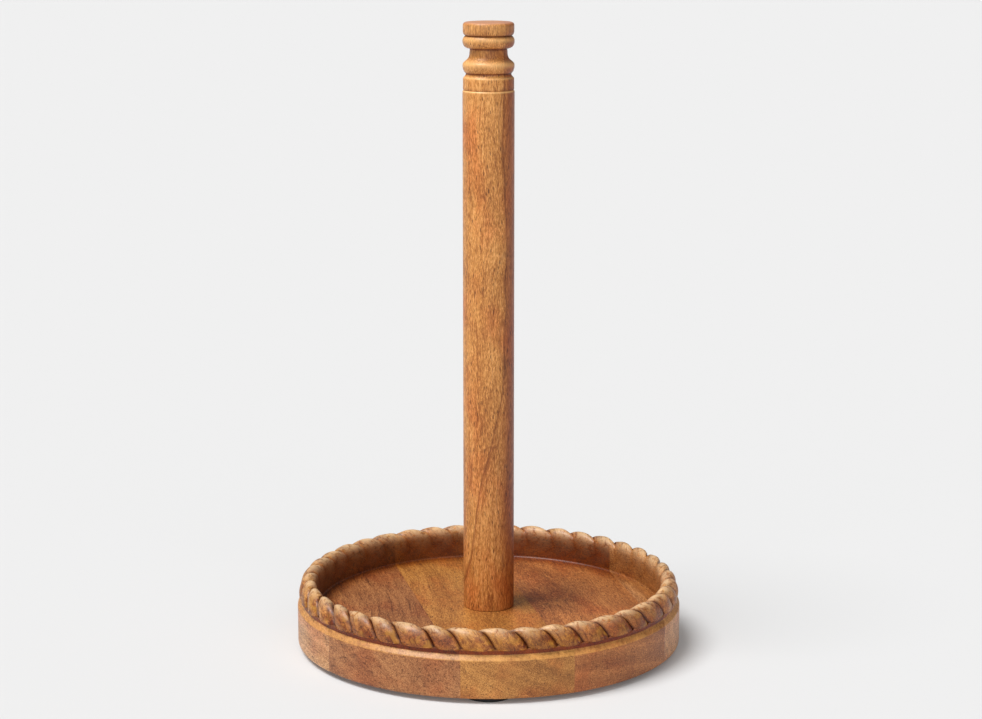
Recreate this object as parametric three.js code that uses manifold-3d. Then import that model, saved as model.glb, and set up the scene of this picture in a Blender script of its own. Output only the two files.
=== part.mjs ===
// Paper towel holder: a turned wooden tray with a carved rope rim and a post that screws into its middle.
// Millimetres, +Z up, origin on the table under the middle of the tray. The front is towards -Y.

import * as THREE from 'three';
import { mergeVertices } from 'three/addons/utils/BufferGeometryUtils.js';
import Module from 'manifold-3d';

const wasm = await Module();
wasm.setup();

// Driving dimensions.
const OVERALL_HEIGHT = 330;
const TRAY_RADIUS = 102;
const FOOT_HEIGHT = 2.4;
const FLOOR_Z = 19.9; // the floor that the roll stands on
const INNER_WALL_RADIUS = 91.8;
const LEDGE_Z = 24.8; // the foot of the rope rim, where the bevel starts
const RIM_TOP_Z = 37.6;
const RIM_CREST_RADIUS = 96;
const RIM_OUTER_RADIUS = 101.3;
const POST_RADIUS = 13.4;

// The tray's edges, and the cove that parts the rope from the bevel.
const BOTTOM_ROUND = 1.5;
const LEDGE_BEVEL = 2.3;
const COVE_RADIUS = 99.6;
const FLOOR_FILLET = 1.2;

// The rope: strands that lean as they go over the rim.
const ROPE_STRANDS = 40;
const ROPE_GROOVE_DEPTH = 2.2;
const ROPE_CORE_Z = 28.8; // the rope's lower edge, and the height of the core that it is carved towards
const CARVE_REACH = 2; // how far below the core the carving fades out
const CARVE_FADE = 4;
const ROPE_LEAN = THREE.MathUtils.degToRad(8); // how far a groove advances round the rim, inside to outside
const SEGMENTS_PER_STRAND = 2;

// The glued boards that the tray is turned from.
const PLANK_COUNT = 5;
const PLANK_WIDTH = 57.5;
const FIRST_SEAM = -93; // distance of the leftmost seam from the post's axis
const GRAIN_TURN = THREE.MathUtils.degToRad(12.5); // the boards run this far round from the Y axis
const GLUE_LINE = 0.2;

// The finial turned on the post's top, from its lowest ring upwards.
const SCORE_Z = 295.3;
const SCORE_DEPTH = 0.5;
const BAND_TOP_Z = 303.8;
const BAND_GROOVE_RADIUS = 12.2;
const SHOULDER_Z = 308;
const NECK_Z = 314.3;
const NECK_RADIUS = 9.6;
const UNDERCUT_Z = 316.5;
const BEAD_Z = 320.2;
const BEAD_RADIUS = 13.35;
const CAP_GROOVE_Z = 323;
const CAP_GROOVE_RADIUS = 12;
const CAP_RADIUS = 13.2;
const CAP_ROUND = 1.8;

// The screw joint: a stud fixed in the post turns in a threaded insert fixed in the tray.
const THREAD_RADIUS = 4;
const THREAD_PITCH = 1.25;
const THREAD_DEPTH = 0.6;
const THREAD_LENGTH = 12;
const STUD_WOOD_RADIUS = 3.4;
const STUD_WOOD_LENGTH = 26;
const INSERT_RADIUS = 6.2;
const INSERT_FLANGE_RADIUS = 8;
const INSERT_FLANGE_THICKNESS = 1.3;
const RUNNING_CLEARANCE = 0.25;
const CONTACT_GAP = 0.1;
const FIT_GAP = 0.3;

// The rubber feet.
const FOOT_RADIUS = 12.7;
const FOOT_EDGE_ROUND = 0.5;
const FOOT_CIRCLE_RADIUS = 86.5;
const FOOT_NAMES = ['foot_right', 'foot_back', 'foot_left', 'foot_front'];

const POST_SEGMENTS = 36;
const SMALL_SEGMENTS = 24;
const CURVE_STEPS = 2;
const FLANGE_RECESS = INSERT_FLANGE_THICKNESS + CONTACT_GAP;

const WOODS = {
  tray: [0xb2754a, 0xb87a46, 0xc08048, 0xb9763f, 0xb4784c],
  post: 0xc08a58,
};

function woodMaterial(color) {
  return new THREE.MeshStandardMaterial({ color, roughness: 0.5, metalness: 0 });
}

function metalMaterial(color) {
  return new THREE.MeshStandardMaterial({ color, roughness: 0.35, metalness: 0.9 });
}

function rubberMaterial() {
  return new THREE.MeshStandardMaterial({ color: 0x1c1c1c, roughness: 0.85, metalness: 0 });
}

function part(name, geometry, material) {
  const mesh = new THREE.Mesh(geometry, material);
  mesh.name = name;
  return mesh;
}

// Turns an outline of (radius, height) points about the Z axis.
function turned(outline, segments) {
  const geometry = new THREE.LatheGeometry(outline.getPoints(CURVE_STEPS), segments);
  return geometry.rotateX(Math.PI / 2);
}

// A geometry as a manifold solid: shared vertices merged, and triangles of no area left out.
function solid(geometry) {
  const bare = geometry.clone();
  bare.deleteAttribute('normal');
  bare.deleteAttribute('uv');
  const merged = mergeVertices(bare, 1e-4);
  const corners = merged.index.array;
  const triangles = [];
  for (let i = 0; i < corners.length; i += 3) {
    const [a, b, c] = corners.slice(i, i + 3);
    if (a !== b && b !== c && c !== a) triangles.push(a, b, c);
  }
  const mesh = new wasm.Mesh({
    numProp: 3,
    vertProperties: new Float32Array(merged.attributes.position.array),
    triVerts: new Uint32Array(triangles),
  });
  return new wasm.Manifold(mesh);
}

function geometryOf(manifold) {
  const mesh = manifold.getMesh();
  const geometry = new THREE.BufferGeometry();
  geometry.setAttribute('position', new THREE.BufferAttribute(new Float32Array(mesh.vertProperties), 3));
  geometry.setIndex(new THREE.BufferAttribute(new Uint32Array(mesh.triVerts), 1));
  geometry.computeVertexNormals();
  return geometry;
}

// The tray's section: underside, wall, bevel, cove, rope crest, inner wall, fillet and floor.
function trayOutline() {
  const outline = new THREE.Path();
  const ropeHeight = RIM_TOP_Z - ROPE_CORE_Z;
  const ropeWidth = RIM_OUTER_RADIUS - RIM_CREST_RADIUS;
  const innerWidth = RIM_CREST_RADIUS - INNER_WALL_RADIUS;
  const innerHeight = ropeHeight / 2;
  outline.moveTo(0, FOOT_HEIGHT);
  outline.lineTo(TRAY_RADIUS - BOTTOM_ROUND, FOOT_HEIGHT);
  outline.absarc(TRAY_RADIUS - BOTTOM_ROUND, FOOT_HEIGHT + BOTTOM_ROUND, BOTTOM_ROUND, -Math.PI / 2, 0);
  outline.lineTo(TRAY_RADIUS, LEDGE_Z - LEDGE_BEVEL);
  outline.lineTo(TRAY_RADIUS - LEDGE_BEVEL, LEDGE_Z);
  outline.lineTo(COVE_RADIUS, LEDGE_Z);
  outline.quadraticCurveTo(COVE_RADIUS, ROPE_CORE_Z, RIM_OUTER_RADIUS, ROPE_CORE_Z);
  outline.absellipse(RIM_CREST_RADIUS, ROPE_CORE_Z, ropeWidth, ropeHeight, 0, Math.PI / 4);
  outline.absellipse(RIM_CREST_RADIUS, ROPE_CORE_Z, ropeWidth, ropeHeight, Math.PI / 4, Math.PI / 2);
  outline.absellipse(RIM_CREST_RADIUS, RIM_TOP_Z - innerHeight, innerWidth, innerHeight, Math.PI / 2, Math.PI);
  outline.lineTo(INNER_WALL_RADIUS, FLOOR_Z + FLOOR_FILLET);
  outline.absarc(INNER_WALL_RADIUS - FLOOR_FILLET, FLOOR_Z + FLOOR_FILLET, FLOOR_FILLET, 0, -Math.PI / 2, true);
  outline.lineTo(0, FLOOR_Z);
  return outline;
}

// Carves the rope: points near the rim sink towards its core, most at the grooves, and lean round the tray.
function carveRope(geometry) {
  const points = geometry.attributes.position;
  const point = new THREE.Vector3();
  for (let i = 0; i < points.count; i++) {
    point.fromBufferAttribute(points, i);
    const radius = Math.hypot(point.x, point.y);
    const aboveCore = point.z - ROPE_CORE_Z;
    const isRope = radius > INNER_WALL_RADIUS - CONTACT_GAP && aboveCore > -CARVE_REACH;
    if (!isRope) continue;
    const angle = Math.atan2(point.y, point.x);
    const strand = (angle * ROPE_STRANDS) / (2 * Math.PI);
    const groove = 1 - Math.abs(Math.sin(Math.PI * strand));
    const over = Math.atan2(radius - INNER_WALL_RADIUS, Math.max(aboveCore, 0)) / (Math.PI / 2);
    const fade = Math.min(1, (aboveCore + CARVE_REACH) / CARVE_FADE);
    const depth = ROPE_GROOVE_DEPTH * groove * fade;
    const core = new THREE.Vector2(RIM_CREST_RADIUS, ROPE_CORE_Z);
    const inward = core.sub(new THREE.Vector2(radius, point.z)).normalize();
    const newRadius = radius + inward.x * depth;
    const newAngle = angle + ROPE_LEAN * over;
    point.set(newRadius * Math.cos(newAngle), newRadius * Math.sin(newAngle), point.z + inward.y * depth);
    points.setXYZ(i, point.x, point.y, point.z);
  }
  return geometry;
}

// The stepped hole that the threaded insert sits in.
function insertPocket() {
  const pocketBottom = FLOOR_Z - THREAD_LENGTH - FIT_GAP;
  const outline = new THREE.Path();
  outline.moveTo(0, pocketBottom);
  outline.lineTo(INSERT_RADIUS + FIT_GAP, pocketBottom);
  outline.lineTo(INSERT_RADIUS + FIT_GAP, FLOOR_Z - FLANGE_RECESS - CONTACT_GAP);
  outline.lineTo(INSERT_FLANGE_RADIUS + FIT_GAP, FLOOR_Z - FLANGE_RECESS - CONTACT_GAP);
  outline.lineTo(INSERT_FLANGE_RADIUS + FIT_GAP, FLOOR_Z + 1);
  outline.lineTo(0, FLOOR_Z + 1);
  return turned(outline, SMALL_SEGMENTS);
}

// One board's share of the tray, cut out by a slab that is as wide as the board.
function plankSlab(index) {
  const middle = FIRST_SEAM + PLANK_WIDTH * (index - 0.5);
  const slab = new THREE.BoxGeometry(PLANK_WIDTH - GLUE_LINE, 4 * TRAY_RADIUS, 4 * RIM_TOP_Z);
  slab.translate(middle, 0, 0);
  return slab.rotateZ(GRAIN_TURN);
}

function trayPlanks() {
  const segments = ROPE_STRANDS * SEGMENTS_PER_STRAND;
  const blank = solid(carveRope(turned(trayOutline(), segments))).subtract(solid(insertPocket()));
  const planks = [];
  for (let index = 0; index < PLANK_COUNT; index++) {
    const board = blank.intersect(solid(plankSlab(index)));
    planks.push(part(`tray_plank_${index + 1}`, geometryOf(board), woodMaterial(WOODS.tray[index])));
  }
  return planks;
}

// The post's section: stud hole, shaft, scored line, band, shoulder bead, neck, upper bead and cap.
function postOutline() {
  const foot = FLOOR_Z + CONTACT_GAP;
  const holeRadius = STUD_WOOD_RADIUS + FIT_GAP;
  const holeTop = foot + STUD_WOOD_LENGTH + FIT_GAP;
  const outline = new THREE.Path();
  outline.moveTo(0, holeTop);
  outline.lineTo(holeRadius, holeTop);
  outline.lineTo(holeRadius, foot);
  outline.lineTo(POST_RADIUS, foot);
  outline.lineTo(POST_RADIUS, SCORE_Z - SCORE_DEPTH);
  outline.lineTo(POST_RADIUS - SCORE_DEPTH, SCORE_Z);
  outline.lineTo(POST_RADIUS - 0.1, SCORE_Z + SCORE_DEPTH);
  outline.lineTo(POST_RADIUS - 0.2, BAND_TOP_Z - 3.5);
  outline.quadraticCurveTo(POST_RADIUS - 0.4, BAND_TOP_Z - 0.8, BAND_GROOVE_RADIUS, BAND_TOP_Z);
  outline.quadraticCurveTo(BAND_GROOVE_RADIUS + 0.8, BAND_TOP_Z + 1.5, BEAD_RADIUS, SHOULDER_Z);
  outline.bezierCurveTo(BEAD_RADIUS, SHOULDER_Z + 2, NECK_RADIUS + 0.6, NECK_Z - 3.5, NECK_RADIUS, NECK_Z);
  outline.lineTo(NECK_RADIUS, UNDERCUT_Z);
  outline.quadraticCurveTo(BEAD_RADIUS - 0.2, UNDERCUT_Z + 0.6, BEAD_RADIUS, BEAD_Z);
  outline.quadraticCurveTo(BEAD_RADIUS - 0.1, CAP_GROOVE_Z - 1.2, CAP_GROOVE_RADIUS, CAP_GROOVE_Z);
  outline.quadraticCurveTo(CAP_RADIUS - 0.2, CAP_GROOVE_Z + 0.6, CAP_RADIUS, CAP_GROOVE_Z + 2.5);
  outline.lineTo(CAP_RADIUS, OVERALL_HEIGHT - CAP_ROUND);
  outline.absarc(CAP_RADIUS - CAP_ROUND, OVERALL_HEIGHT - CAP_ROUND, CAP_ROUND, 0, Math.PI / 2);
  outline.lineTo(0, OVERALL_HEIGHT);
  return outline;
}

// The stud's section: a machine thread below, shown as rings of the thread's pitch, and a plain shank above.
function studOutline() {
  const shoulder = FLOOR_Z + CONTACT_GAP;
  const bottom = shoulder - THREAD_LENGTH;
  const threads = Math.floor(THREAD_LENGTH / THREAD_PITCH);
  const rootRadius = THREAD_RADIUS - THREAD_DEPTH;
  const top = shoulder + STUD_WOOD_LENGTH;
  const outline = new THREE.Path();
  outline.moveTo(0, bottom);
  outline.lineTo(rootRadius, bottom);
  for (let i = 0; i < threads; i++) {
    outline.lineTo(THREAD_RADIUS, bottom + (i + 0.5) * THREAD_PITCH);
    outline.lineTo(rootRadius, bottom + (i + 1) * THREAD_PITCH);
  }
  outline.lineTo(STUD_WOOD_RADIUS, shoulder);
  outline.lineTo(STUD_WOOD_RADIUS, top - STUD_WOOD_RADIUS);
  outline.lineTo(0, top);
  return outline;
}

// The insert's section: a flanged sleeve with a plain bore, closed on itself.
function insertOutline() {
  const top = FLOOR_Z - CONTACT_GAP;
  const bottom = FLOOR_Z - THREAD_LENGTH;
  const bore = THREAD_RADIUS + RUNNING_CLEARANCE;
  const outline = new THREE.Path();
  outline.moveTo(bore, bottom);
  outline.lineTo(INSERT_RADIUS, bottom);
  outline.lineTo(INSERT_RADIUS, top - INSERT_FLANGE_THICKNESS);
  outline.lineTo(INSERT_FLANGE_RADIUS, top - INSERT_FLANGE_THICKNESS);
  outline.lineTo(INSERT_FLANGE_RADIUS, top);
  outline.lineTo(bore, top);
  outline.lineTo(bore, bottom);
  return outline;
}

// One foot: a disc with a rounded lower edge, stuck to the underside.
function footOutline() {
  const top = FOOT_HEIGHT - CONTACT_GAP;
  const outline = new THREE.Path();
  outline.moveTo(0, 0);
  outline.lineTo(FOOT_RADIUS - FOOT_EDGE_ROUND, 0);
  outline.absarc(FOOT_RADIUS - FOOT_EDGE_ROUND, FOOT_EDGE_ROUND, FOOT_EDGE_ROUND, -Math.PI / 2, 0);
  outline.lineTo(FOOT_RADIUS, top);
  outline.lineTo(0, top);
  return outline;
}

function feet() {
  return FOOT_NAMES.map((name, i) => {
    const foot = part(name, turned(footOutline(), SMALL_SEGMENTS), rubberMaterial());
    const angle = (i * 2 * Math.PI) / FOOT_NAMES.length;
    foot.position.set(FOOT_CIRCLE_RADIUS * Math.cos(angle), FOOT_CIRCLE_RADIUS * Math.sin(angle), 0);
    return foot;
  });
}

const holder = new THREE.Group();
holder.add(...trayPlanks());
holder.add(part('threaded_insert', turned(insertOutline(), SMALL_SEGMENTS), metalMaterial(0xb08d4f)));
holder.add(part('threaded_stud', turned(studOutline(), SMALL_SEGMENTS), metalMaterial(0xb9bcbf)));
holder.add(part('post', turned(postOutline(), POST_SEGMENTS), woodMaterial(WOODS.post)));
holder.add(...feet());

export default holder;
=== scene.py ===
"""Paper towel holder: a turned tray with a carved rope rim, and a post that screws into it.

Metres, +Z up, the front towards -Y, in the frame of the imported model.
"""

import math

import bmesh
import bpy
import numpy as np
from mathutils import Matrix, Vector, noise


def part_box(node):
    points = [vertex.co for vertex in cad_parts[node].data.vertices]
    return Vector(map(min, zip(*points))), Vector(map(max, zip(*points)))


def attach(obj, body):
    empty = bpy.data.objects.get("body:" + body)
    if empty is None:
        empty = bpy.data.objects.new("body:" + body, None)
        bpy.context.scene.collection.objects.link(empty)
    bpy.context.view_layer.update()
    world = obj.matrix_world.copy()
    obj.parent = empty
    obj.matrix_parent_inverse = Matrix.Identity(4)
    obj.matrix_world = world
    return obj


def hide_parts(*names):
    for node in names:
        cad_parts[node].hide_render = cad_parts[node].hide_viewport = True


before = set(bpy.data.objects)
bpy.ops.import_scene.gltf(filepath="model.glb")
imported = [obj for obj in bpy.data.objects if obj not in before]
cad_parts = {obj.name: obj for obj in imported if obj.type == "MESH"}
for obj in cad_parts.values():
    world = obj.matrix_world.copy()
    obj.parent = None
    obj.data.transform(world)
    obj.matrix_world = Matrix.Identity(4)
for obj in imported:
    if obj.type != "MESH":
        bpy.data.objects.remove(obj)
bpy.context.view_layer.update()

MM = 0.001

# Sizes read from the frame.
PLANKS = sorted(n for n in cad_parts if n.startswith("tray_plank"))
FEET = sorted(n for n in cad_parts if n.startswith("foot"))
POST_FOOT_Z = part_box("post")[0].z
POST_TOP_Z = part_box("post")[1].z
POST_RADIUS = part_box("post")[1].x
TRAY_LOW_Z = min(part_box(n)[0].z for n in PLANKS)
TRAY_TOP_Z = max(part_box(n)[1].z for n in PLANKS)
TRAY_RADIUS = max(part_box(n)[1].x for n in PLANKS)
INSERT_LOW, INSERT_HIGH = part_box("threaded_insert")
STUD_LOW, STUD_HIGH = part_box("threaded_stud")

# The tray's section.
POST_GAP = 0.1 * MM
FLOOR_Z = POST_FOOT_Z - POST_GAP
INNER_WALL_RADIUS = TRAY_RADIUS - 10.2 * MM
LEDGE_Z = TRAY_LOW_Z + 22.4 * MM
BOTTOM_ROUND = 1.5 * MM
LEDGE_BEVEL = 2.3 * MM
COVE_RADIUS = TRAY_RADIUS - 2.5 * MM
COVE_TOP_RADIUS = TRAY_RADIUS - 1.9 * MM
FLOOR_FILLET = 1.2 * MM
POCKET_GAP = 0.3 * MM
EASE = 0.35 * MM

# The rope.
STRANDS = 40
STEPS_PER_STRAND = 22
STRAND_PHASE = math.radians(-89.8)
STRAND_LEAN = math.radians(8)
STRAND_PEAK = 0.45
LEAN_CENTRE = 0.78
CREST_RADIUS = TRAY_RADIUS - 6.2 * MM
ROPE_CORE_Z = TRAY_TOP_Z - 8.6 * MM
ROPE_WIDTH = 5.4 * MM
INNER_ROUND_HEIGHT = 5 * MM
GROOVE_DEPTH = 2.7 * MM

# The boards' lie: the glue seams are parallel and evenly spaced.
GRAIN_TURN = math.radians(12.5)
PLANK_WIDTH = 57.5 * MM
FIRST_SEAM = -93 * MM

# The finial's levels, down from the post's top.
SCORE_DROP = 34.3 * MM
LOW_GROOVE_DROP = 26 * MM
SHOULDER_DROP = 21.8 * MM
NECK_DROP = 15.5 * MM
UNDERCUT_DROP = 13.4 * MM
BEAD_DROP = 9.5 * MM
CAP_GROOVE_DROP = 6.8 * MM

# The post's figure, in mm: where its heartwood starts and is full across it, the growth line that runs down
# across the post from its right side, and the arches of grain above that.
HEART_FROM = 4.5
HEART_FULL = 12.5
LINE_SIDE = 8.5
LINE_BEND_Z = 150
LINE_SLOPE = 0.18
ARCH_CENTRE = -5
ARCH_CURVE = 0.18

# The fixing between the post and the tray.
THREAD_PITCH = 1.25 * MM
THREAD_DEPTH = 0.6 * MM
FLANGE_HEIGHT = 1.3 * MM
FLANGE_REACH = 1.8 * MM

# Stains, as the shares of red, green and blue light that they let through: all over the tray's inside,
# once more on its inner wall, on the rope, and in the cove below the rope. On the inner wall and in the cove
# they are partly painted shade.
INSIDE_STAIN_AND_SHADE = (0.49, 0.32, 0.11, 1)
WALL_STAIN_AND_SHADE = (0.84, 0.74, 0.5, 1)
ROPE_STAIN = (1.0, 0.85, 0.44, 1)
COVE_STAIN_AND_SHADE = (0.5, 0.19, 0.03, 1)

# The camera.
CAMERA_PLACE = (1.25 * MM, -1246.2 * MM, 410.8 * MM)
CAMERA_DIP = math.radians(11.643)
CAMERA_LENS = 88.817


def srgb(code):
    """A colour written as six hexadecimal digits, in linear light, with alpha 1."""
    shares = [int(code[i : i + 2], 16) / 255 for i in (0, 2, 4)]
    return tuple(s / 12.92 if s <= 0.04045 else ((s + 0.055) / 1.055) ** 2.4 for s in shares) + (1.0,)


# ---- Outlines: lists of (radius, height) ----


def ellipse(centre, width, height, start, stop, steps):
    """Points along an ellipse's arc. The angles are in degrees from the outward direction."""
    angles = np.radians(np.linspace(start, stop, steps + 1))
    return [(centre[0] + width * math.cos(a), centre[1] + height * math.sin(a)) for a in angles]


def straight(start, stop, steps):
    """Points along a straight stretch, without its first one."""
    shares = np.linspace(0, 1, steps + 1)[1:]
    return [(start[0] + (stop[0] - start[0]) * s, start[1] + (stop[1] - start[1]) * s) for s in shares]


def bezier(*controls, steps=10):
    """Points along a Bezier curve through its end controls."""
    points = [np.array(c, float) for c in controls]
    curve = []
    for s in np.linspace(0, 1, steps + 1):
        level = points
        while len(level) > 1:
            level = [a * (1 - s) + b * s for a, b in zip(level, level[1:])]
        curve.append(tuple(level[0]))
    return curve


# ---- Meshes ----


def mesh_object(name, points, faces, sharp_degrees=35):
    """A smooth-shaded mesh object with hard edges where its faces turn sharply."""
    mesh = bpy.data.meshes.new(name)
    mesh.from_pydata([tuple(p) for p in points], [], faces)
    mesh.validate()
    mesh.shade_smooth()
    mesh.set_sharp_from_angle(angle=math.radians(sharp_degrees))
    piece = bpy.data.objects.new(name, mesh)
    bpy.context.scene.collection.objects.link(piece)
    return piece


def ring_faces(rings, steps, first_on_axis, last_on_axis, closed):
    """Faces between rings of points. A ring on the axis is a single point."""
    starts, count = [], 0
    for i in range(rings):
        starts.append(count)
        on_axis = (i == 0 and first_on_axis) or (i == rings - 1 and last_on_axis)
        count += 1 if on_axis else steps
    faces = []
    pairs = [(i, i + 1) for i in range(rings - 1)] + ([(rings - 1, 0)] if closed else [])
    for low, high in pairs:
        a, b = starts[low], starts[high]
        for j in range(steps):
            k = (j + 1) % steps
            if low == 0 and first_on_axis:
                faces.append((a, b + k, b + j))
            elif high == rings - 1 and last_on_axis:
                faces.append((a + j, a + k, b))
            else:
                faces.append((a + j, a + k, b + k, b + j))
    return faces


def turned(name, outline, steps=96, sharp_degrees=35):
    """A solid of revolution about the Z axis from an outline that starts and ends on the axis, or closes."""
    outline = [p for i, p in enumerate(outline) if i == 0 or math.dist(p, outline[i - 1]) > 1e-7]
    first_on_axis, last_on_axis = outline[0][0] < 1e-7, outline[-1][0] < 1e-7
    closed = not first_on_axis
    if closed and math.dist(outline[0], outline[-1]) < 1e-7:
        outline = outline[:-1]
    angles = np.linspace(0, 2 * math.pi, steps, endpoint=False)
    points = []
    for radius, height in outline:
        if radius < 1e-7:
            points.append((0, 0, height))
        else:
            points.extend((radius * math.cos(a), radius * math.sin(a), height) for a in angles)
    faces = ring_faces(len(outline), steps, first_on_axis, last_on_axis, closed)
    return mesh_object(name, points, faces, sharp_degrees)


# ---- The tray ----


def rope_section():
    """The rope's outline from its lower edge outside, over the crest and down the inner wall."""
    core = (CREST_RADIUS, ROPE_CORE_Z)
    outer = ellipse(core, ROPE_WIDTH, TRAY_TOP_Z - ROPE_CORE_Z, -12, 90, 40)[:-1]
    inner_core = (CREST_RADIUS, TRAY_TOP_Z - INNER_ROUND_HEIGHT)
    inner = ellipse(inner_core, CREST_RADIUS - INNER_WALL_RADIUS, INNER_ROUND_HEIGHT, 90, 180, 20)
    return outer + inner + straight(inner[-1], (INNER_WALL_RADIUS, inner[-1][1] - 5 * MM), 8)


def tray_base():
    """The tray's outline underneath and up the plain outer wall, from the axis."""
    corner = (TRAY_RADIUS - BOTTOM_ROUND, TRAY_LOW_Z + BOTTOM_ROUND)
    outline = [(0, TRAY_LOW_Z), (TRAY_RADIUS * 0.5, TRAY_LOW_Z)]
    outline += ellipse(corner, BOTTOM_ROUND, BOTTOM_ROUND, -90, 0, 6)
    return outline + straight(outline[-1], (TRAY_RADIUS, LEDGE_Z - LEDGE_BEVEL - EASE), 6)


def tray_bevel(start):
    """The sloping ledge, with its lower edge eased, and its upper edge easing into the cove."""
    low, high = (TRAY_RADIUS, LEDGE_Z - LEDGE_BEVEL), (TRAY_RADIUS - LEDGE_BEVEL, LEDGE_Z)
    outline = bezier(start, low, (TRAY_RADIUS - EASE, low[1] + EASE), steps=4)[1:]
    outline += straight(outline[-1], high, 4)[:-1]
    return outline + bezier(outline[-1], high, (COVE_RADIUS + 0.1 * MM, LEDGE_Z + 0.3 * MM), steps=4)[1:3]


def tray_inside():
    """The fillet below the inner wall, and the floor with the insert's pocket at its middle."""
    flange_radius = INSERT_HIGH.x + POCKET_GAP
    flange_z = INSERT_HIGH.z - FLANGE_HEIGHT - POCKET_GAP
    bore_radius = flange_radius - FLANGE_REACH
    pocket_z = INSERT_LOW.z - POCKET_GAP
    fillet_centre = (INNER_WALL_RADIUS - FLOOR_FILLET, FLOOR_Z + FLOOR_FILLET)
    fillet = ellipse(fillet_centre, FLOOR_FILLET, FLOOR_FILLET, 0, -90, 6)
    floor = straight(fillet[-1], (flange_radius, FLOOR_Z), 8)
    floor += [(flange_radius, flange_z), (bore_radius, flange_z), (bore_radius, pocket_z), (0, pocket_z)]
    return fillet, floor


def tray_zones():
    """The tray's outline by zone: out from the axis underneath, up outside, over the rope and back in."""
    rope = rope_section()
    base = tray_base()
    bevel = tray_bevel(base[-1])
    cove = [(COVE_RADIUS + 0.1 * MM, LEDGE_Z + 0.3 * MM)]
    cove += straight(cove[0], (COVE_TOP_RADIUS, rope[0][1] - 0.25 * MM), 6)
    fillet, floor = tray_inside()
    return {"base": base, "bevel": bevel, "cove": cove, "rope": rope, "fillet": fillet, "floor": floor}


def strand_edges():
    """Where each strand starts round the rim, in radians. Hand carving makes them a little uneven."""
    random = np.random.default_rng(7)
    shifts = random.uniform(-0.09, 0.09, STRANDS)
    edges = [STRAND_PHASE + (k + shifts[k]) * 2 * math.pi / STRANDS for k in range(STRANDS)]
    return edges + [edges[0] + 2 * math.pi]


def strand_height(share):
    """A strand's height from 0 in its grooves to 1 on its back, which lies towards its near side."""
    if share < STRAND_PEAK:
        return math.sin(math.pi / 2 * share / STRAND_PEAK) ** 0.62
    return math.cos(math.pi / 2 * (share - STRAND_PEAK) / (1 - STRAND_PEAK)) ** 0.5


def outline_normals(outline):
    """The outward direction at each point of an outline."""
    points = np.array(outline)
    along = np.gradient(points, axis=0)
    normals = np.stack([along[:, 1], -along[:, 0]], axis=1)
    lengths = np.maximum(np.linalg.norm(normals, axis=1, keepdims=True), 1e-12)
    return normals / lengths


def smooth_step(value, low, high):
    """0 up to low and 1 from high, with an eased rise between them."""
    share = np.clip((value - low) / (high - low), 0, 1)
    return share * share * (3 - 2 * share)


def carving(over):
    """How deep the grooves go at a place over the rope: less at its lower edge, full across its back."""
    return float((0.6 + 0.4 * smooth_step(1 - over, 0.0, 0.16)) * smooth_step(over, 0.06, 0.45))


def inner_wall_at(zone, over):
    """How far a place on the outline belongs to the inner wall, which fades into the rope's crest."""
    if zone == "rope":
        return float(1 - smooth_step(over, 0.02, 0.3))
    return 1.0 if zone == "fillet" else 0.0


def lean_at(zone, over):
    """How far round the rim the strands lean at a place on the outline."""
    if zone == "rope":
        return STRAND_LEAN * (over - LEAN_CENTRE)
    return STRAND_LEAN * (1 - LEAN_CENTRE) if zone == "cove" else 0.0


def carved_point(radius, height, normal, angle, carve, depth, peak):
    """A point of the rope, sunk into its groove and left a little uneven by the knife."""
    place = Vector((radius * math.cos(angle), radius * math.sin(angle), height))
    sink = carve * GROOVE_DEPTH * depth * (1 - peak)
    sink += carve * MM * (0.35 * noise.noise(place / (6 * MM)) + 0.3 * (1 - depth))
    radius, height = radius - normal[0] * sink, height - normal[1] * sink
    return (radius * math.cos(angle), radius * math.sin(angle), height)


# What a point of the tray is marked with, for its material: how deep it is in a groove, for painted shade,
# how far it is on a strand's back, for a painted highlight, whether it is in the cove or on the bevel, how
# far it is towards its strand's far side, for painted shade, where it is round and over the rope, and how far
# it belongs to the inner wall and the floor.
TRAY_WEIGHTS = ("groove", "crest", "cove", "bevel", "strand", "lay", "over", "wall", "floor")


def tray_surface():
    """The whole tray's points and faces, with the rope carved, and each point's shading weights."""
    zones = tray_zones()
    outline = [point for points in zones.values() for point in points]
    kinds = [zone for zone, points in zones.items() for _ in points]
    overs = iter(np.linspace(1, 0, len(zones["rope"])))
    normals = outline_normals(outline)
    edges = strand_edges()
    depths = np.random.default_rng(11).uniform(0.8, 1.2, STRANDS)
    points = []
    weights = {name: [] for name in TRAY_WEIGHTS}
    for (radius, height), zone, normal in zip(outline, kinds, normals):
        on_rope = zone == "rope"
        over = float(next(overs)) if on_rope else 0.0
        carve = carving(over) if on_rope else 0.0
        shade = float(smooth_step(over, 0.1, 0.4))
        crest = math.exp(-(((over - 0.4) / 0.24) ** 2)) * on_rope
        for j in range(1 if radius < 1e-7 else STRANDS * STEPS_PER_STRAND):
            strand, step = divmod(j, STEPS_PER_STRAND)
            share = step / STEPS_PER_STRAND
            angle = edges[strand] + share * (edges[strand + 1] - edges[strand]) + lean_at(zone, over)
            peak = strand_height(share)
            points.append(carved_point(radius, height, normal, angle, carve, depths[strand], peak))
            # Painted shade in the grooves and on each strand's far side, and a painted highlight on its back.
            weights["groove"].append(shade * (1 - peak))
            weights["crest"].append(crest * peak * (1 - 0.45 * share))
            weights["cove"].append(float(zone == "cove"))
            weights["bevel"].append(float(zone == "bevel"))
            weights["strand"].append(shade * (0.2 + 0.8 * share))
            weights["lay"].append(strand + share)
            weights["over"].append(over)
            weights["wall"].append(inner_wall_at(zone, over))
            weights["floor"].append(float(zone == "floor"))
    return points, ring_faces(len(outline), STRANDS * STEPS_PER_STRAND, True, True, False), weights


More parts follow.
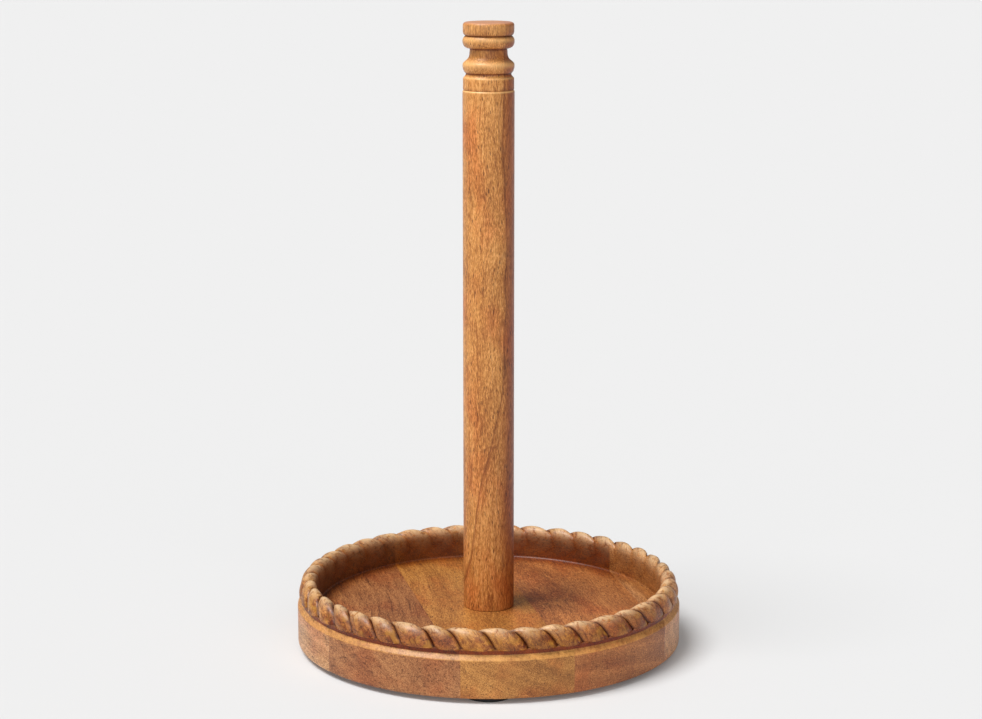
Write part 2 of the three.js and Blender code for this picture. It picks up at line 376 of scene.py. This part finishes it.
def cut_plank(whole, index, name):
    """One board's share of the tray: a copy cut along its two glue seams and closed there."""
    across = Vector((math.cos(GRAIN_TURN), math.sin(GRAIN_TURN), 0))
    left = FIRST_SEAM + PLANK_WIDTH * (index - 1)
    right = left + PLANK_WIDTH
    shape = bmesh.new()
    shape.from_mesh(whole)
    for place, direction in ((left, -across), (right, across)):
        everything = shape.verts[:] + shape.edges[:] + shape.faces[:]
        cut = bmesh.ops.bisect_plane(
            shape, geom=everything, plane_co=across * place, plane_no=direction, clear_outer=True, dist=1e-6
        )
        rim = [e for e in cut["geom_cut"] if isinstance(e, bmesh.types.BMEdge)]
        if rim:
            bmesh.ops.holes_fill(shape, edges=rim, sides=0)
    mesh = bpy.data.meshes.new(name)
    shape.to_mesh(mesh)
    shape.free()
    mesh.shade_smooth()
    mesh.set_sharp_from_angle(angle=math.radians(50))
    piece = bpy.data.objects.new(name, mesh)
    bpy.context.scene.collection.objects.link(piece)
    return piece


# ---- Materials ----


class Nodes:
    """Adds shader nodes to one new material and links them."""

    def __init__(self, name):
        self.material = bpy.data.materials.new(name)
        self.material.use_nodes = True
        self.tree = self.material.node_tree
        self.tree.nodes.clear()

    def add(self, kind, inputs=None, **settings):
        node = self.tree.nodes.new("ShaderNode" + kind)
        for key, value in settings.items():
            setattr(node, key, value)
        for key, value in (inputs or {}).items():
            self.feed(node.inputs[key], value)
        return node

    def feed(self, socket, value):
        if isinstance(value, bpy.types.NodeSocket):
            self.tree.links.new(value, socket)
        else:
            socket.default_value = value

    def math(self, operation, a, b=0.0, c=0.0):
        return self.add("Math", {0: a, 1: b, 2: c}, operation=operation).outputs[0]

    def vector(self, operation, a, b=(0, 0, 0)):
        return self.add("VectorMath", {0: a, 1: b}, operation=operation).outputs[0]

    def mix(self, share, a, b, blend="MIX"):
        node = self.add("Mix", data_type="RGBA", blend_type=blend)
        self.feed(node.inputs[0], share)
        self.feed(node.inputs[6], a)
        self.feed(node.inputs[7], b)
        return node.outputs[2]

    def remap(self, value, low, high, to_low=0.0, to_high=1.0):
        inputs = {0: value, 1: low, 2: high, 3: to_low, 4: to_high}
        return self.add("MapRange", inputs, interpolation_type="SMOOTHSTEP").outputs[0]

    def noise(self, vector, scale, detail=3.0, roughness=0.5, distortion=0.0):
        stretched = self.vector("MULTIPLY", vector, scale)
        inputs = {"Vector": stretched, "Scale": 1.0, "Detail": detail, "Roughness": roughness}
        inputs["Distortion"] = distortion
        return self.add("TexNoise", inputs)

    def noise_line(self, distance, scale, detail, roughness):
        """Noise along one axis: rings round the pith when it is fed the distance from it."""
        inputs = {"W": self.math("MULTIPLY", distance, scale), "Scale": 1.0}
        inputs.update({"Detail": detail, "Roughness": roughness})
        return self.add("TexNoise", inputs, noise_dimensions="1D").outputs["Fac"]

    def bend(self, vector, scale, reach):
        """Wanders sideways from the grain's direction by about reach, so that no streak runs straight."""
        wander = self.vector("SUBTRACT", self.noise(vector, scale, 2).outputs["Color"], (0.5, 0.5, 0.5))
        return self.vector("ADD", vector, self.vector("MULTIPLY", wander, (reach, 0, reach)))

    def pores(self, vector, scale):
        """Short dark dashes along the grain, of uneven sizes: 1 inside one."""
        cells = self.add("TexVoronoi", {"Vector": self.vector("MULTIPLY", vector, scale), "Scale": 1.0})
        kind = self.add("SeparateColor", {0: cells.outputs["Color"]}).outputs[0]
        reach = self.math("SUBTRACT", self.remap(kind, 0.3, 1.0, 0.02, 0.34), cells.outputs["Distance"])
        return self.remap(reach, 0.0, 0.12)

    def blend_of(self, *layers):
        """The sum of layers, each given with its share."""
        total = 0.0
        for value, share in layers:
            total = self.math("MULTIPLY_ADD", value, share, total)
        return total

    def attribute(self, name):
        return self.add("Attribute", attribute_name=name).outputs["Fac"]

    def finish(self, shader_inputs):
        shader = self.add("BsdfPrincipled", shader_inputs)
        output = self.add("OutputMaterial")
        self.tree.links.new(shader.outputs[0], output.inputs[0])
        return self.material


def wood(name, rotation, offset, pith, tones, figure, finish_and_painted_light):
    """Oiled hardwood in solid grain that runs along the pattern's Y axis.

    offset shifts the pattern, in millimetres. pith is where the heart of the tree lies across the grain, in
    millimetres from the holder's axis. tones are the dark, middle and light colours, and figure is how strong
    the dark streaks are. The last argument adds the finish's own marks to the colour and the relief, and
    painted shade and painted highlights to the colour.
    """
    nodes = Nodes(name)
    place = nodes.add("TexCoord").outputs["Object"]
    turned_place = nodes.add("Mapping", {"Vector": place, "Rotation": rotation, "Scale": (1000, 1000, 1000)})
    grain = nodes.vector("ADD", turned_place.outputs[0], offset)
    bent = nodes.bend(nodes.bend(grain, (0.014, 0.009, 0.014), 16), (0.12, 0.05, 0.12), 2.2)

    heart = tuple(p + o for p, o in zip(pith, offset))
    across = nodes.vector("MULTIPLY", nodes.vector("SUBTRACT", bent, heart), (1, 0.06, 1))
    distance = nodes.add("VectorMath", {0: across}, operation="LENGTH").outputs["Value"]
    rings = nodes.noise_line(distance, 0.16, 3, 0.6)
    lines = nodes.noise_line(distance, 0.9, 2, 0.5)
    streaks = nodes.noise(bent, (0.5, 0.055, 0.5), 4, 0.6).outputs["Fac"]
    strokes = nodes.noise(bent, (0.7, 0.016, 0.7), 3, 0.6).outputs["Fac"]
    flecks = nodes.noise(bent, (2.0, 0.34, 2.0), 3, 0.75).outputs["Fac"]
    speckle = nodes.noise(bent, (1.6, 0.9, 1.6), 2, 0.7).outputs["Fac"]
    blotches = nodes.noise(grain, (0.05, 0.022, 0.05), 3).outputs["Fac"]
    warmth = nodes.noise(nodes.vector("ADD", grain, (311, 173, 97)), (0.06, 0.03, 0.06), 3).outputs["Fac"]
    pores = nodes.pores(bent, (1.05, 0.22, 1.05))

    layers = ((rings, 0.16), (lines, 0.14), (streaks, 0.2), (flecks, 0.8), (speckle, 0.14), (blotches, 0.22))
    tone = nodes.blend_of(*layers)
    dark, middle, light = (srgb(t) for t in tones)
    ramp = nodes.add("ValToRGB", {0: nodes.remap(tone, 0.61, 1.05)})
    ramp.color_ramp.elements[0].color = dark
    ramp.color_ramp.elements[1].color = light
    ramp.color_ramp.elements.new(0.5).color = middle
    colour = nodes.mix(nodes.remap(warmth, 0.42, 0.7, 0, 0.35), ramp.outputs[0], srgb("a8642a"), "OVERLAY")
    colour = nodes.mix(nodes.remap(lines, 0.6, 0.75, 0, 0.3), colour, srgb("6a3418"), "MULTIPLY")
    colour = nodes.mix(nodes.remap(strokes, 0.54, 0.7, 0, figure), colour, srgb("6a3418"), "MULTIPLY")
    colour = nodes.mix(nodes.math("MULTIPLY", pores, 0.78), colour, srgb("431f0d"))

    relief = nodes.math("SUBTRACT", nodes.math("MULTIPLY", flecks, 0.5), pores)
    colour, relief = finish_and_painted_light(nodes, grain, colour, relief)
    gloss = nodes.remap(flecks, 0.2, 0.8, 0.52, 0.38)
    bump = nodes.add("Bump", {"Strength": 0.3, "Distance": 0.12 * MM, "Height": relief})
    return nodes.finish(
        {
            "Base Color": colour,
            "Roughness": gloss,
            "Normal": bump.outputs[0],
            "IOR": 1.48,
            "Specular IOR Level": 0.4,
            "Coat Weight": 0.06,
            "Coat Roughness": 0.25,
        }
    )


def shifted_noise(nodes, grain, shift, scale, detail=3.0, roughness=0.5):
    """Noise over the grain's coordinates, moved away so that it matches no other layer."""
    return nodes.noise(nodes.vector("ADD", grain, shift), scale, detail, roughness).outputs["Fac"]


def strand_colour(nodes, grain, colour, cuts):
    """The rope's colours: golden and brown stain, painted shade on each strand's far side and in its grooves,
    and pale backs, partly rubbed with use and partly a painted highlight.
    """
    strand = nodes.attribute("strand")
    colour = nodes.mix(nodes.remap(strand, 0.0, 0.2, 0, 0.8), colour, ROPE_STAIN, "MULTIPLY")
    # Each strand darker towards its far side: painted shade, broken into patches of stain.
    stain = shifted_noise(nodes, grain, (57, 13, 29), (0.28, 0.18, 0.28), 4, 0.7)
    shaded = nodes.math("MULTIPLY", strand, nodes.remap(stain, 0.4, 0.56, 0.12, 1))
    colour = nodes.mix(shaded, colour, srgb("9c5f26"), "MULTIPLY")
    gold = nodes.remap(shifted_noise(nodes, grain, (7, 83, 61), (0.2, 0.12, 0.2)), 0.46, 0.62, 0, 0.6)
    colour = nodes.mix(nodes.math("MULTIPLY", gold, strand), colour, srgb("bb8128"))
    # The strands' backs paler: partly rubbed with use, partly a painted highlight.
    wear_and_highlight = nodes.noise(grain, (0.45, 0.3, 0.45), 4, 0.65).outputs["Fac"]
    crest = nodes.math("MULTIPLY", nodes.attribute("crest"), nodes.remap(wear_and_highlight, 0.36, 0.5, 0.25, 0.95))
    colour = nodes.mix(crest, colour, srgb("e4c194"))
    lined = nodes.math("MULTIPLY", nodes.remap(cuts, 0.5, 0.7, 0, 0.6), nodes.remap(strand, 0.0, 0.2))
    colour = nodes.mix(lined, colour, srgb("8a4a1c"), "MULTIPLY")
    # Painted shade in the grooves.
    groove = nodes.remap(nodes.attribute("groove"), 0.4, 0.95, 0, 0.9)
    return nodes.mix(groove, colour, srgb("6b3510"), "MULTIPLY")


def carved_wear_and_painted_light(wall_stain_and_shade, floor_stain):
    """Marks of use, stain and painted light on a carved board: painted shade in the grooves, on the strands'
    far sides, in the cove and on the inner wall, and painted highlights on the strands' backs and the bevel.
    The stains say how dark it is on the tray's inner wall and floor.
    """

    def finish_and_painted_light(nodes, grain, colour, relief):
        wall, floor = nodes.attribute("wall"), nodes.attribute("floor")
        # The inner wall darker: partly stain, partly painted shade.
        inside = nodes.blend_of((wall, wall_stain_and_shade), (floor, floor_stain))
        colour = nodes.mix(inside, colour, INSIDE_STAIN_AND_SHADE, "MULTIPLY")
        colour = nodes.mix(wall, colour, WALL_STAIN_AND_SHADE, "MULTIPLY")
        along = nodes.add("CombineXYZ", {0: nodes.attribute("lay"), 1: nodes.attribute("over")}).outputs[0]
        cuts = nodes.noise(along, (8, 4, 1), 3, 0.6, 0.4).outputs["Fac"]
        colour = strand_colour(nodes, grain, colour, cuts)
        # The cove darker: partly stain, partly painted shade under the rope.
        colour = nodes.mix(nodes.attribute("cove"), colour, COVE_STAIN_AND_SHADE, "MULTIPLY")
        # The bevel paler: partly rubbed with use, partly a painted highlight.
        wear_and_highlight = nodes.remap(nodes.noise(grain, (0.5, 0.3, 0.5), 3).outputs["Fac"], 0.35, 0.65, 0.2, 0.55)
        colour = nodes.mix(nodes.math("MULTIPLY", nodes.attribute("bevel"), wear_and_highlight), colour, srgb("d89e55"))
        chips = nodes.noise(grain, (0.8, 0.8, 0.8), 3).outputs["Fac"]
        marks = nodes.math("MULTIPLY", cuts, nodes.remap(nodes.attribute("strand"), 0.0, 0.2, 0, 2.2))
        relief = nodes.math("ADD", relief, nodes.math("MULTIPLY", chips, 0.8))
        return colour, nodes.math("ADD", relief, marks)

    return finish_and_painted_light


def growth_lines(nodes, across, height, colour):
    """Darker growth lines: one across the post on a slant, fainter ones beside it, and arches above it."""
    fall = nodes.math("MULTIPLY_ADD", height, LINE_SLOPE, LINE_SIDE - LINE_SLOPE * LINE_BEND_Z)
    run = nodes.math("SUBTRACT", across, nodes.math("MINIMUM", fall, LINE_SIDE))
    line = nodes.remap(nodes.math("ABSOLUTE", run), 0.1, 0.75, 0.5, 0)
    colour = nodes.mix(line, colour, srgb("8a5426"), "MULTIPLY")
    colour = nodes.mix(nodes.remap(run, -0.5, 0.8, 0, 0.14), colour, srgb("c4935f"), "MULTIPLY")
    low = nodes.remap(height, LINE_BEND_Z - 40, LINE_BEND_Z + 20, 0.28, 0)
    beside = nodes.remap(nodes.noise_line(run, 0.5, 3, 0.6), 0.5, 0.62)
    colour = nodes.mix(nodes.math("MULTIPLY", beside, low), colour, srgb("a86c38"), "MULTIPLY")
    aside = nodes.math("SUBTRACT", across, ARCH_CENTRE)
    rise = nodes.math("MULTIPLY", nodes.math("MULTIPLY", aside, aside), ARCH_CURVE)
    arches = nodes.noise_line(nodes.math("SUBTRACT", height, rise), 0.08, 4, 0.65)
    return nodes.mix(nodes.remap(arches, 0.54, 0.6, 0, 0.17), colour, srgb("a86c38"), "MULTIPLY")


def turned_wear_and_painted_light(nodes, grain, colour, relief):
    """The post's finish: its figure and heartwood, painted shade in the turned grooves and the neck, painted
    highlights on the edges, and dull end grain.
    """
    wobble = nodes.bend(grain, (0.06, 0.018, 0.06), 9)
    parts = nodes.add("SeparateXYZ", {0: wobble}).outputs
    colour = growth_lines(nodes, parts[0], parts[1], colour)
    heart = nodes.remap(parts[0], HEART_FROM, HEART_FULL, 0, 0.85)
    colour = nodes.mix(heart, colour, srgb("b8834e"), "MULTIPLY")
    # Painted shade in the grooves and the neck, and painted highlights on the rings that catch the light.
    colour = nodes.mix(nodes.attribute("groove"), colour, srgb("8a4a26"), "MULTIPLY")
    colour = nodes.mix(nodes.attribute("edge"), colour, srgb("ffcc88"))
    return nodes.mix(nodes.attribute("end"), colour, srgb("cf9a82")), relief


def metal(name, colour, roughness):
    """Turned, plated metal: fine rings of tool marks and faint stains."""
    nodes = Nodes(name)
    place = nodes.vector("MULTIPLY", nodes.add("TexCoord").outputs["Object"], (1000, 1000, 1000))
    marks = nodes.noise(place, (0.3, 0.3, 9), 2).outputs["Fac"]
    stains = nodes.noise(place, (0.4, 0.4, 0.4), 4).outputs["Fac"]
    tint = nodes.mix(nodes.remap(stains, 0.4, 0.75, 0, 0.5), srgb(colour), srgb("6f665c"))
    rough = nodes.remap(marks, 0.2, 0.8, roughness - 0.08, roughness + 0.12)
    bump = nodes.add("Bump", {"Strength": 0.3, "Distance": 0.02 * MM, "Height": marks})
    return nodes.finish({"Base Color": tint, "Metallic": 1.0, "Roughness": rough, "Normal": bump.outputs[0]})


def rubber(name):
    """Moulded black rubber with a fine pebble and a little dust."""
    nodes = Nodes(name)
    place = nodes.vector("MULTIPLY", nodes.add("TexCoord").outputs["Object"], (1000, 1000, 1000))
    pebble = nodes.noise(place, (3, 3, 3), 2).outputs["Fac"]
    dust = nodes.noise(place, (0.25, 0.25, 0.25), 4).outputs["Fac"]
    tint = nodes.mix(nodes.remap(dust, 0.5, 0.8, 0, 0.3), srgb("17171a"), srgb("4a4743"))
    rough = nodes.remap(dust, 0.3, 0.8, 0.7, 0.92)
    bump = nodes.add("Bump", {"Strength": 0.4, "Distance": 0.05 * MM, "Height": pebble})
    return nodes.finish({"Base Color": tint, "Roughness": rough, "Normal": bump.outputs[0]})


# ---- The pieces ----


def place_piece(piece, node, body, material):
    """Makes a piece stand for a CAD node, ride on its body and show its material."""
    piece.data.materials.clear()
    piece.data.materials.append(material)
    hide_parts(node)
    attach(piece, body)
    return piece


# For each board from the left: its pattern's shift, where its heart lies, its dark, middle and light colours,
# how strong its streaks are, and how strongly it is stained on the tray's inner wall, where the stain is
# partly painted shade, and on its floor.
PLANK_LOOKS = [
    ((40, 13, 9), (-60, 0, 90), ("8a5a36", "be8b5a", "e3b282"), 0.5, (1.0, 0.33)),
    ((210, 77, 31), (-150, 0, -60), ("6d3d22", "9f673d", "c88d59"), 0.6, (1.0, 0.33)),
    ((420, 310, -13), (40, 0, 100), ("7b4a1f", "b07538", "d99c53"), 0.25, (1.0, 0.3)),
    ((-330, 145, 22), (30, 0, -70), ("703d1e", "a66535", "d18a4d"), 0.3, (1.0, 0.05)),
    ((-610, 420, 47), (190, 0, 40), ("855434", "bc8252", "eab079"), 0.2, (0.5, 0.26)),
]


def make_tray():
    """The five boards, cut from one turned and carved form."""
    points, faces, weights = tray_surface()
    whole = bpy.data.meshes.new("tray_whole")
    whole.from_pydata(points, [], faces)
    for name, values in weights.items():
        whole.attributes.new(name, "FLOAT", "POINT").data.foreach_set("value", np.array(values, np.float32))
    for index, node in enumerate(PLANKS):
        offset, pith, tones, figure, stains = PLANK_LOOKS[index]
        turn = (0, 0, -GRAIN_TURN)
        material = wood(f"wood_{node}", turn, offset, pith, tones, figure, carved_wear_and_painted_light(*stains))
        place_piece(cut_plank(whole, index, f"{node}_turned"), node, "tray", material)
    bpy.data.meshes.remove(whole)


def down(drop):
    """The height a drop below the post's top."""
    return POST_TOP_Z - drop


def post_shaft():
    """The post's outline from its stud hole down round the foot and up to the scored line."""
    hole = STUD_HIGH.x * 0.85 + 0.3 * MM
    hole_top = STUD_HIGH.z + 0.3 * MM
    score = down(SCORE_DROP)
    outline = [(0, hole_top), (hole, hole_top), (hole, POST_FOOT_Z)]
    outline += ellipse((POST_RADIUS - EASE, POST_FOOT_Z + EASE), EASE, EASE, -90, 0, 4)
    outline += straight(outline[-1], (POST_RADIUS, score - 2.4 * MM), 24)
    outline += straight(outline[-1], (POST_RADIUS - 0.02 * MM, score - 0.9 * MM), 3)
    return outline + straight(outline[-1], (POST_RADIUS - 0.6 * MM, score - 0.1 * MM), 4)


def finial_band(radius):
    """The plain band above the scored line, and the groove above it."""
    side, groove = radius - 0.2 * MM, down(LOW_GROOVE_DROP)
    band = [(side, down(SCORE_DROP) + 0.15 * MM)]
    band += straight(band[-1], (side - 0.05 * MM, groove - 3 * MM), 4)
    turn, lip = (side - 0.05 * MM, groove - 1.6 * MM), (radius - 1.7 * MM, groove - 1.9 * MM)
    return band + bezier(band[-1], turn, lip, (radius - 1.7 * MM, groove))[1:]


def finial_shoulder(radius, start):
    """The rounded shoulder, and the hollow neck that sweeps up from it."""
    side, shoulder, neck = radius - 0.05 * MM, down(SHOULDER_DROP), down(NECK_DROP)
    rise = (radius - 0.8 * MM, down(LOW_GROOVE_DROP) + 0.4 * MM)
    outline = bezier(start, rise, (side + 0.1 * MM, shoulder - 1.8 * MM), (side, shoulder))[1:]
    over, under = (side, shoulder + 2 * MM), (radius - 2.6 * MM, shoulder + 2.2 * MM)
    hollow, top = (radius - 3.5 * MM, shoulder + 3.6 * MM), (radius - 3.6 * MM, neck - 0.5 * MM)
    outline += bezier(outline[-1], over, under, hollow, top, steps=16)[1:]
    return outline + straight(outline[-1], (radius - 3.8 * MM, down(UNDERCUT_DROP)), 3)


def finial_bead(radius, start):
    """The round bead, from its undercut to the groove above it."""
    side, bead, groove = radius - 0.05 * MM, down(BEAD_DROP), down(CAP_GROOVE_DROP)
    below, belly = (radius - 1.2 * MM, down(UNDERCUT_DROP) + 0.1 * MM), (side, bead - 2.4 * MM)
    outline = bezier(start, below, belly, (side, bead), steps=14)[1:]
    over, lip = (side, bead + 1.3 * MM), (radius - 0.9 * MM, groove - 0.5 * MM)
    return outline + bezier(outline[-1], over, lip, (radius - 1.6 * MM, groove))[1:]


def finial_cap(radius, start):
    """The cap: a short cylinder with a rounded upper edge."""
    side, groove, edge = radius - 0.2 * MM, down(CAP_GROOVE_DROP), 1.7 * MM
    lip, turn = (radius - 0.7 * MM, groove + 0.2 * MM), (side, groove + 1 * MM)
    outline = bezier(start, lip, turn, (side, groove + 2.6 * MM))[1:]
    outline += ellipse((side - edge, POST_TOP_Z - edge), edge, edge, 0, 90, 8)
    return outline + [(radius * 0.4, POST_TOP_Z), (0, POST_TOP_Z)]


def post_outline():
    """The post's outline from its stud hole down round the foot and up to the finial's cap."""
    outline = post_shaft() + finial_band(POST_RADIUS)
    for part in (finial_shoulder, finial_bead, finial_cap):
        outline += part(POST_RADIUS, outline[-1])
    return outline


def ring_marks(heights, marks):
    """How strongly each height is marked by rings, given as (height, width, strength)."""
    shares = [share * np.exp(-(((heights - height) / width) ** 2)) for height, width, share in marks]
    return np.clip(sum(shares), 0, 1)


def mark_turning(post):
    """Marks the post's grooves and neck, for painted shade, the rings that catch the light, for painted
    highlights, and its end grain, for its material.
    """
    heights = np.array([v.co.z for v in post.data.vertices])
    grooves = [(down(drop), 0.6 * MM, 0.9) for drop in (LOW_GROOVE_DROP, UNDERCUT_DROP, CAP_GROOVE_DROP)]
    grooves += [(down(NECK_DROP + 1 * MM), 3 * MM, 0.12), (down(SCORE_DROP) + 0.2 * MM, 0.3 * MM, 0.35)]
    edges = [(down(SCORE_DROP) - 0.6 * MM, 0.35 * MM, 0.7), (down(LOW_GROOVE_DROP + 2.1 * MM), 0.6 * MM, 0.4)]
    edges += [(down(BEAD_DROP - 1 * MM), 1.3 * MM, 0.4), (down(SHOULDER_DROP - 0.8 * MM), 1.7 * MM, 0.45)]
    edges += [(down(2.6 * MM), 1.8 * MM, 0.2)]
    for name, marks in {"groove": grooves, "edge": edges, "end": [(POST_TOP_Z, 0.5 * MM, 0.6)]}.items():
        values = ring_marks(heights, marks).astype(np.float32)
        post.data.attributes.new(name, "FLOAT", "POINT").data.foreach_set("value", values)


def make_post():
    """The post and its finial, turned in one."""
    tones = ("8d5126", "ca8742", "f5b46c")
    material = wood("wood_post", (-math.pi / 2, 0, 0), (0, 0, 0), (26, 150, 34), tones, 0.15, turned_wear_and_painted_light)
    post = turned("post_turned", post_outline(), 160)
    mark_turning(post)
    place_piece(post, "post", "post", material)


def ring(radius, height, steps):
    """Points round the Z axis."""
    angles = np.linspace(0, 2 * math.pi, steps, endpoint=False)
    return [(radius * math.cos(a), radius * math.sin(a), height) for a in angles]


def thread_ring(height, top, steps):
    """Points round a single-start thread, which runs out at its two ends."""
    crest, run_out = STUD_HIGH.x, 0.3 * MM
    end = max(0.0, min(1.0, (height - STUD_LOW.z) / (0.8 * MM), (top - height) / (0.4 * MM)))
    points = []
    for j in range(steps):
        turn = (height / THREAD_PITCH - j / steps) % 1
        ridge = max(0.0, 1 - abs(turn - 0.5) * 2.4)
        radius = crest - THREAD_DEPTH + THREAD_DEPTH * ridge * end - run_out * (1 - end)
        angle = 2 * math.pi * j / steps
        points.append((radius * math.cos(angle), radius * math.sin(angle), height))
    return points


def make_stud():
    """A stud with a helical machine thread below, and a plain pointed shank above."""
    steps, rows, shank = 72, 120, 3.4 * MM
    points = [(0, 0, STUD_LOW.z)]
    for height in np.linspace(STUD_LOW.z, POST_FOOT_Z, rows + 1):
        points += thread_ring(height, POST_FOOT_Z, steps)
    points += ring(shank, POST_FOOT_Z + 0.01 * MM, steps)
    points += ring(shank, STUD_HIGH.z - shank, steps)
    points += ring(0.4 * MM, STUD_HIGH.z - 0.2 * MM, steps)
    points.append((0, 0, STUD_HIGH.z))
    stud = mesh_object("stud_threaded", points, ring_faces(rows + 6, steps, True, True, False), 30)
    place_piece(stud, "threaded_stud", "stud", metal("plated_steel", "b9bcbf", 0.32))


def make_insert():
    """A flanged brass sleeve, ribbed outside, with chamfered edges."""
    bore = STUD_HIGH.x + 0.25 * MM
    sleeve = INSERT_HIGH.x - FLANGE_REACH
    flange_z = INSERT_HIGH.z - FLANGE_HEIGHT
    ease = 0.3 * MM
    outline = [(bore, INSERT_LOW.z + ease), (bore + ease, INSERT_LOW.z), (sleeve - ease, INSERT_LOW.z)]
    rings = 9
    for i in range(rings):
        low = INSERT_LOW.z + ease + (flange_z - INSERT_LOW.z - ease) * i / rings
        high = INSERT_LOW.z + ease + (flange_z - INSERT_LOW.z - ease) * (i + 0.5) / rings
        outline += [(sleeve - 0.5 * MM, low), (sleeve, high)]
    outline += [(sleeve - 0.5 * MM, flange_z), (INSERT_HIGH.x, flange_z)]
    outline += [(INSERT_HIGH.x, INSERT_HIGH.z - ease), (INSERT_HIGH.x - ease, INSERT_HIGH.z)]
    outline += [(bore + 2 * ease, INSERT_HIGH.z), (bore, INSERT_HIGH.z - 2 * ease)]
    material = metal("brass", "c09a52", 0.36)
    insert = turned("insert_sleeve", outline, 72, 30)
    place_piece(insert, "threaded_insert", "tray", material)


def make_feet():
    """Round pads, each a little hollow underneath."""
    material = rubber("black_rubber")
    for node in FEET:
        low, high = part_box(node)
        radius, height = (high.x - low.x) / 2, high.z - low.z
        ease = 0.5 * MM
        outline = [(0, 0.15 * MM), (radius * 0.7, 0.15 * MM), (radius * 0.76, 0)]
        outline += ellipse((radius - ease, ease), ease, ease, -90, 0, 5)
        outline += ellipse((radius - ease * 0.6, height - ease * 0.6), ease * 0.6, ease * 0.6, 0, 90, 3)
        outline += [(0, height)]
        foot = turned(f"{node}_pad", outline, 64, 40)
        foot.location = ((low.x + high.x) / 2, (low.y + high.y) / 2, low.z)
        place_piece(foot, node, "tray", material)


# ---- The studio ----


def make_floor():
    """A wide, plain pale floor, lit a little from within as a light table is, so that shadows stay soft."""
    floor = mesh_object("floor", [(-30, -30, 0), (30, -30, 0), (30, 30, 0), (-30, 30, 0)], [(0, 1, 2, 3)])
    nodes = Nodes("pale_floor")
    look = {"Base Color": (0.593, 0.593, 0.593, 1), "Roughness": 1, "Specular IOR Level": 0}
    look.update({"Emission Color": (1, 1, 1, 1), "Emission Strength": 0.075})
    floor.data.materials.append(nodes.finish(look))


def add_sun(name, towards, strength, width_degrees):
    """A distant soft light. towards points from the holder to the light."""
    data = bpy.data.lights.new(name, "SUN")
    data.energy = strength
    data.angle = math.radians(width_degrees)
    light = bpy.data.objects.new(name, data)
    light.rotation_euler = Vector(towards).to_track_quat("Z", "Y").to_euler()
    bpy.context.scene.collection.objects.link(light)


def make_lights():
    """A large soft key from the upper left, a weaker wide light from the front, and a dim surround."""
    add_sun("key", (-1.0, -0.45, 2.3), 3.3, 30)
    add_sun("front", (0.0, -1.0, 0.55), 1.25, 80)
    world = bpy.data.worlds.new("surround")
    world.use_nodes = True
    world.node_tree.nodes["Background"].inputs[0].default_value = (1, 1, 1, 1)
    world.node_tree.nodes["Background"].inputs[1].default_value = 0.2
    bpy.context.scene.world = world


def make_camera():
    """A long lens a little above the holder, looking down at it."""
    data = bpy.data.cameras.new("camera")
    data.sensor_fit = "HORIZONTAL"
    data.sensor_width = 36
    data.lens = CAMERA_LENS
    data.clip_start, data.clip_end = 0.05, 100
    camera = bpy.data.objects.new("camera", data)
    camera.location = CAMERA_PLACE
    camera.rotation_euler = (math.pi / 2 - CAMERA_DIP, 0, 0)
    bpy.context.scene.collection.objects.link(camera)
    bpy.context.scene.camera = camera


make_camera()
make_lights()
make_floor()
make_tray()
make_post()
make_stud()
make_insert()
make_feet()
bpy.context.scene.view_settings.view_transform = "Standard"
